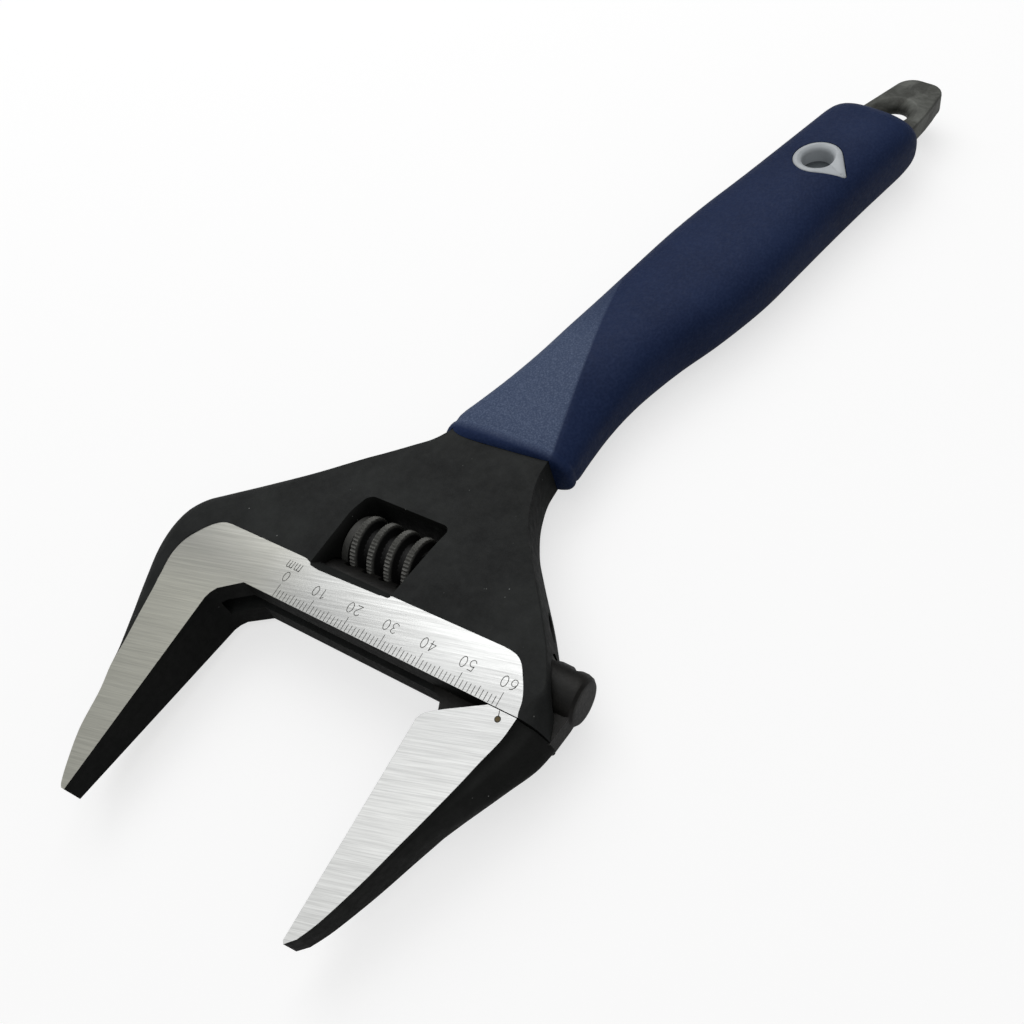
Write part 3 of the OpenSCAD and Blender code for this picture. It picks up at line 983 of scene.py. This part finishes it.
def make_rack():
    """Round bar with teeth that mesh with the worm, and the web that joins it to the jaw."""
    first, last = HEAD_END - 71, HEAD_END + 1.0
    bar = lathe_x(
        [
            (first, 5.2),
            (first + 0.3, 5.7),
            (first + 0.9, 6.2),
            (last - 12, 6.2),
            (last - 8, 5.75),
            (last - 1.8, 5.6),
            (last - 0.8, 5.3),
            (last - 0.2, 4.7),
            (last, 3.9),
        ],
        BAR_Y,
        name="rack_bar",
    )
    cuts = [prism([(16.5, -8), (20, -8), (20, 8), (16.5, 8)], first - 5, last + 5, "X")]
    # the teeth's gaps slant by the thread's lead, and take its crests, which on the bar's side of
    # the worm lie half a pitch further on
    mesh_r, tooth, flank_slope = 6.9, 2.05, PITCH / 6 / WORM_DEPTH
    slant = Matrix.Rotation(-math.atan(PITCH / (2 * math.pi * mesh_r)), 3, "Y")
    crest = WORM_X + FIRST_CREST * PITCH / STEPS + PITCH / 2
    low = 0.9
    high = low + tooth * flank_slope + 0.5
    gap = [
        (-low, 15.1), (-low + 0.3, 14.85), (low - 0.3, 14.85),
        (low, 15.1), (high, 17.5), (-high, 17.5),
    ]
    k = math.ceil((first - 1 - crest) / PITCH)
    while crest + k * PITCH < last + 1:
        along = Vector((crest + k * PITCH, 0, 0))
        ends = [[tuple(slant @ Vector((x, y, z)) + along) for x, y in gap] for z in (-12, 12)]
        cuts.append(loft("cutter", ends))
        k += 1
    combine(bar, cuts)
    web_plan = [
        (57.4, 9.2), (57.4, 0.2), (61.5, -2.5), (63.5, -6.8), (79, -6.8),
        (84.2, -2.6), (86.6, -0.4), (87.3, 5), (87.5, 9.2),
    ]
    web = prism(web_plan, -2.5, 2.5)
    made = join("rack", [bar, web])
    shade(made, 28)
    return made


dress(make_rack(), "moving_jaw", RACK, ["moving_jaw"])


def disc_on_jaw(name, radius, lift):
    """Round mark at the end of the pointer, a little over the ground face."""
    x, y = 77.1, -1.9
    ring = [(x + c, y + s) for c, s in ring_of(32, radius)]
    return make(name, [(px, py, ground(py) + lift) for px, py in ring], [list(range(32))])


def make_pointer():
    verts, faces = stroke([(76.6, -0.35), (76.95, -1.3)], 0.16, 0.03)
    return make("pointer_line", verts, faces)


dress(make_pointer(), "moving_jaw", INK)
dress(disc_on_jaw("pointer_rim", 0.68, 0.02), "moving_jaw", INK)
dress(disc_on_jaw("pointer_dot", 0.5, 0.035), "moving_jaw", PUNCH)


# ---------------------------------------------------------------- worm, pin and spring


def make_worm():
    length, radius = 19.4, 7.5
    knurls, per_knurl, rows = 54, 8, 120
    sides = knurls * per_knurl
    half_crest, half_knurled, flank = 2.5, 2.3, 3  # in steps of the thread
    collar_len, collar_r, bevel_len, knurl_depth = 2.1, 6.95, 0.7, 0.34

    def r_at(x, turn, cog):
        """Radius at a place along the worm, a share of a turn and a share of a knurl."""
        away = abs((x / PITCH - FIRST_CREST / STEPS - turn + 100.5) % 1.0 - 0.5) * STEPS
        bevel = max(0.0, bevel_len - min(x, length - x))
        down = min(1.0, max(0.0, away - half_crest) / flank)
        down = down * down * (3 - 2 * down) * 0.35 + down * 0.65
        ridge = radius - WORM_DEPTH * down
        crest = max(0.0, 1 - max(0.0, away - half_knurled) / 0.4)
        notch = knurl_depth * crest * (0.5 + 0.5 * math.cos(2 * math.pi * cog)) ** 0.8
        collar = collar_r if x < collar_len else 0.0
        return min(radius - bevel, max(ridge - notch, collar))

    rings = []
    for i in range(rows + 1):
        x = length * i / rows
        ring = []
        for k, (c, s) in enumerate(ring_of(sides, 1.0)):
            r = r_at(x, k / sides, (k % per_knurl) / per_knurl)
            ring.append((WORM_X + x, WORM_Y + r * c, r * s))
        rings.append(ring)
    worm = loft("knurled_worm", rings)
    end = WORM_X + length
    bore = lathe_x([(0, 2.05), (60, 2.05)], WORM_Y, sides=48)
    pocket = lathe_x([(end - 4, 3.65), (end - 0.3, 3.65), (end + 1, 4.6)], WORM_Y, sides=64)
    combine(worm, [bore, pocket])
    shade(worm, 40)
    return worm


dress(make_worm(), "worm", WORM, ["worm"])


def make_spring():
    start, end, radius, wire = 35.8, 42.2, 2.8, 0.45
    steps, turns, sides = 36, 5, 14
    rings = []
    for i in range(steps * turns + 1):
        a = 2 * math.pi * i / steps
        x = start + (end - start) * i / (steps * turns)
        rings.append(
            [
                (x + s, WORM_Y + (radius + c) * math.cos(a), (radius + c) * math.sin(a))
                for c, s in ring_of(sides, wire)
            ]
        )
    spring = loft("coil_spring", rings)
    shade(spring, 50)
    return spring


dress(make_spring(), "handle", WIRE, ["worm_spring"])
nodes["worm_pin"].data.materials.clear()
nodes["worm_pin"].data.materials.append(PIN)


# ---------------------------------------------------------------- grip

# Each row is a place along the handle, and where the grip's left and right edges lie across it.
grip_edges = [
    (50, 6.6, 42.6), (60, 6.0, 42.4), (66, 5.4, 41.8), (72, 6.0, 40.2), (80, 6.7, 37.9),
    (88, 7.0, 36.0), (96, 7.0, 34.9), (104, 6.7, 34.6), (116, 6.1, 35.5), (130, 5.1, 37.7),
    (146, 4.2, 38.9), (160, 4.3, 38.4), (176, 5.2, 37.6), (192, 5.8, 37.0), (204, 6.2, 36.8),
    (211, 6.4, 36.7), (216, 6.6, 36.5), (224, 6.8, 36.4),
]
grip_table = spline(grip_edges, 6)
crease = [
    (60, 41), (69.5, 36.9), (74.7, 34.3), (80, 31.9),
    (87.9, 27.6), (94.5, 23.7), (104, 19), (130, 16),
]
crease_table = spline(crease, 5)


def section_power(along):
    """Power of the grip's section: 2 is an ellipse, and more is squarer."""
    return 2.78 + 0.65 * (1 - smooth_step(along, 66, 96))


def section_half(along):
    """Half thickness of the cover, which is thinner over the neck."""
    return GRIP - 2.8 * (1 - smooth_step(along, 58, 106))


def grip_height(across, along):
    """Height of the cover's skin above the middle plane, away from its ends."""
    left, right = along_table(grip_table, along)
    u = (across - (left + right) / 2) / ((right - left) / 2)
    power = section_power(along)
    return section_half(along) * (1 - abs(u) ** power) ** (1 / power)


def slanting_ends(behind):
    """Left and right end of a ring this far behind the front edge, which is square to the frame."""
    front_y = 55.8
    t = behind / FRONT_REACH
    ends = []
    for column, across in ((0, 6.0), (1, 41.5)):
        for _ in range(4):  # by steps from a first guess
            square = (front_y + across * math.sin(LEAN)) / math.cos(LEAN)
            front = square + 1.3 * smooth_step(across, 22, 42)
            at = (1 - t) * front + t * BODY_AT
            across = along_table(grip_table, at)[column]
        ends.append((across, at))
    return ends


def square_ends(at):
    """Left and right end of a ring that is square to the handle."""
    return [(across, at) for across in along_table(grip_table, at)]


def cover_columns(crease_at, columns=56):
    """Shares of the half width, closer at the edges, with the crease on a column of its own."""
    shares = [-math.cos(math.pi * (k + 0.5) / columns) for k in range(columns)]
    shares = [math.copysign(abs(u) ** 0.72, u) for u in shares]
    near = min(range(columns), key=lambda k: abs(shares[k] - crease_at))
    if 1 < near < columns - 2:
        shares[near] = crease_at
    return shares


def cover_ring(ends, squeeze=1.0, lower=1.0, inset=0.0):
    """Section of the cover between two ends, narrowed, lowered and drawn in."""
    (left, at_left), (right, at_right) = ends
    half_w = (right - left) / 2 * squeeze - inset
    mid = (left + right) / 2
    at_mid = (at_left + at_right) / 2
    half_h = section_half(at_mid) * lower - inset
    power = section_power(at_mid)
    under = 1 - 0.13 * (1 - smooth_step(at_mid, 64, 92))
    # the top falls away to the right of the crease
    fold = along_table(crease_table, at_mid + (at_right - at_left) * 0.25)[0]
    crease_at = min(0.93, max(-0.55, (fold - mid) / half_w))
    fade = 1 - smooth_step(at_mid, 84, 106)
    drop = 0.4 * fade * smooth_step(at_mid, 60, 68)

    def point(u, height):
        place = on_handle(mid + half_w * u, at_mid + (at_right - at_left) / 2 * u)
        return (*place, height * max(0.0, 1 - abs(u) ** power) ** (1 / power))

    shares = cover_columns(crease_at)
    top = []
    for u in shares:
        x, y, z = point(u, half_h)
        if u > crease_at and drop > 0:
            z -= drop * (u - crease_at) * half_w * (z / half_h)
        top.append((x, y, z))
    return top + [point(u, -under * half_h) for u in shares[::-1]]


def make_cover():
    """Soft sleeve, from the bead at its front edge to the dome at its end."""
    # distance behind the front edge, and how far the skin lies in there
    bead = [
        (0, 1.7), (0.25, 1.15), (0.7, 0.62), (1.2, 0.28), (1.8, 0.08), (2.5, 0),
        (3.1, 0.06), (3.5, 0.22), (3.9, 0.3), (4.4, 0.22), (5.2, 0.05), (6.5, 0),
    ]
    bead_len = bead[-1][0]
    dome_at, dome_len = 211.0, 11.4
    side_power, face_power = 4.8, 2.5  # of the dome, seen from above and from the side
    rings = [cover_ring(slanting_ends(behind), inset=inset) for behind, inset in bead]
    for k in range(1, 23):
        behind = bead_len + (FRONT_REACH - bead_len) * k / 22
        rings.append(cover_ring(slanting_ends(behind)))
    for k in range(1, 78):
        rings.append(cover_ring(square_ends(BODY_AT + (dome_at - BODY_AT) * k / 77)))
    for k in range(1, 17):
        out = math.sin(math.pi / 2 * k / 16.6)  # stops just short of the tip
        squeeze = (1 - out**side_power) ** (1 / side_power)
        lower = (1 - out**face_power) ** (1 / face_power)
        rings.append(cover_ring(square_ends(dome_at + dome_len * out), squeeze, lower))
    cover = loft("grip_skin", rings)
    hole = prism([on_handle(*p) for p in eye_plan(0.12)], -14, 14)
    # room for the neck of the head just inside the front edge
    room = NECK + 0.12
    neck_plan = [
        (7.3, 50), (7.8, 58), (9.6, 65), (10.6, 70), (35.3, 70),
        (36.4, 68.6), (37.5, 65.6), (40, 61.4), (43, 50),
    ]
    neck = prism([on_handle(*p) for p in neck_plan], -room, room)
    combine(cover, [hole, neck])
    shade(cover, 32)
    return cover


def eye_plan(margin, count=40):
    """Teardrop outline round the eye, in places across and along the handle."""
    tip, big, small = (32.2, 188.2), 6.9 + margin, 0.9 + margin
    turn = math.atan2(tip[1] - EYE_MID[1], tip[0] - EYE_MID[0])
    swing = math.acos((big - small) / math.dist(EYE_MID, tip))
    point = [(tip, small, turn + swing * (2 * k / 10 - 1)) for k in range(11)]
    bowl = [
        (EYE_MID, big, turn + swing + (2 * math.pi - 2 * swing) * k / count)
        for k in range(count + 1)
    ]
    return [(x + r * math.cos(a), y + r * math.sin(a)) for (x, y), r, a in point + bowl]


def make_eye(side):
    """Raised hard ring of the eye on one side of the grip."""
    low, high = 5.2, GRIP + 0.12
    rings = [[(*on_handle(*p), side * low) for p in eye_plan(0)]]
    # how far the ring stands over the skin, and the margin of its outline
    rise = [(-0.35, 0.0), (-0.08, -0.1), (0.06, -0.3), (0.14, -0.6), (0.16, -1.0), (0.14, -1.6)]
    for up, margin in rise:
        rings.append([(*on_handle(*p), side * (grip_height(*p) + up)) for p in eye_plan(margin)])
    eye = loft("eye_upper" if side > 0 else "eye_lower", rings)
    wall = [
        (4, 4.3), (high - 1.5, 4.35), (high - 0.8, 4.55),
        (high - 0.35, 4.95), (high - 0.08, 5.5), (high + 0.4, 6.4),
    ]
    combine(eye, [lathe_z([(side * z, r) for z, r in wall], *EYE_MID)])
    shade(eye, 32)
    return eye


def make_eye_floor(side):
    name = "eye_bottom_up" if side > 0 else "eye_bottom_down"
    disc = lathe_z([(side * 5.35, 4.5), (side * 5.6, 4.5), (side * 5.62, 4.3)], *EYE_MID, name=name)
    shade(disc, 40)
    return disc


dress(make_cover(), "handle", RUBBER, ["grip_cover"])
for side in (1, -1):
    dress(make_eye(side), "handle", EYE, ["grip_core"])
    dress(make_eye_floor(side), "handle", DARK)


# ---------------------------------------------------------------- stage


def add_floor():
    """Pale floor that glows for the camera, and less for mirrored rays, but lights nothing."""
    wide, gap, seen_glow, mirrored_share = 4000, 0.0002, 0.66, 0.25
    corners = [(-wide, -wide, 0), (wide, -wide, 0), (wide, wide, 0), (-wide, wide, 0)]
    floor = make("floor", corners, [[0, 1, 2, 3]])
    floor.location.z = cad_low.z - gap
    look = Look("floor", (0.4, 0.4, 0.4), 0.9)
    path = look.tree.nodes.new("ShaderNodeLightPath")
    mirrored = look.math("MULTIPLY", path.outputs["Is Glossy Ray"], mirrored_share)
    seen = look.math("MAXIMUM", path.outputs["Is Camera Ray"], mirrored)
    glow = look.math("MULTIPLY", seen, seen_glow)
    look.shader.inputs["Emission Color"].default_value = (1, 1, 1, 1)
    look.link(glow, look.shader.inputs["Emission Strength"])
    floor.data.materials.append(look.material)


def add_sky():
    """White for the camera, and for the object bright overhead and dim at the sides."""
    world = bpy.data.worlds.new("studio")
    bpy.context.scene.world = world
    world.use_nodes = True
    tree = world.node_tree
    background = tree.nodes["Background"]
    background.inputs["Color"].default_value = (1, 1, 1, 1)
    path = tree.nodes.new("ShaderNodeLightPath")
    where = tree.nodes.new("ShaderNodeTexCoord")
    height = tree.nodes.new("ShaderNodeSeparateXYZ")
    tree.links.new(where.outputs["Generated"], height.inputs[0])
    sky = tree.nodes.new("ShaderNodeMapRange")
    sky.inputs["From Min"].default_value = 0.6
    sky.inputs["From Max"].default_value = 0.98
    sky.inputs["To Min"].default_value = 0.17
    sky.inputs["To Max"].default_value = 1.1
    tree.links.new(height.outputs["Z"], sky.inputs["Value"])
    power = tree.nodes.new("ShaderNodeMapRange")
    power.inputs["To Max"].default_value = 1.0
    tree.links.new(path.outputs["Is Camera Ray"], power.inputs["Value"])
    tree.links.new(sky.outputs["Result"], power.inputs["To Min"])
    tree.links.new(power.outputs["Result"], background.inputs["Strength"])


def add_lamp(name, place, aim, size, watts):
    data = bpy.data.lights.new(name, "AREA")
    data.shape = "RECTANGLE"
    data.size, data.size_y = size
    data.energy = watts
    made = new_object(name, data)
    made.location = place
    direction = Vector(aim) - Vector(place)
    made.rotation_euler = direction.to_track_quat("-Z", "Y").to_euler()


add_floor()
add_sky()
add_lamp("key", (-0.35, 0.55, 0.75), (0.03, 0.06, 0), (0.9, 0.7), 3.2)
add_lamp("fill", (0.7, -0.5, 0.5), (0.05, 0.05, 0), (0.8, 0.8), 0.5)

camera = new_object("camera", bpy.data.cameras.new("camera"))
camera.data.sensor_width = 36
camera.data.lens = 33.71
camera.data.shift_x = -0.0595
camera.data.shift_y = -0.0383
camera.data.clip_start = 0.01
camera.location = (0.15377, -0.04494, 0.17649)
camera.rotation_euler = [math.radians(a) for a in (37.941, 10.178, 30.003)]
bpy.context.scene.camera = camera
bpy.context.scene.view_settings.view_transform = "Standard"
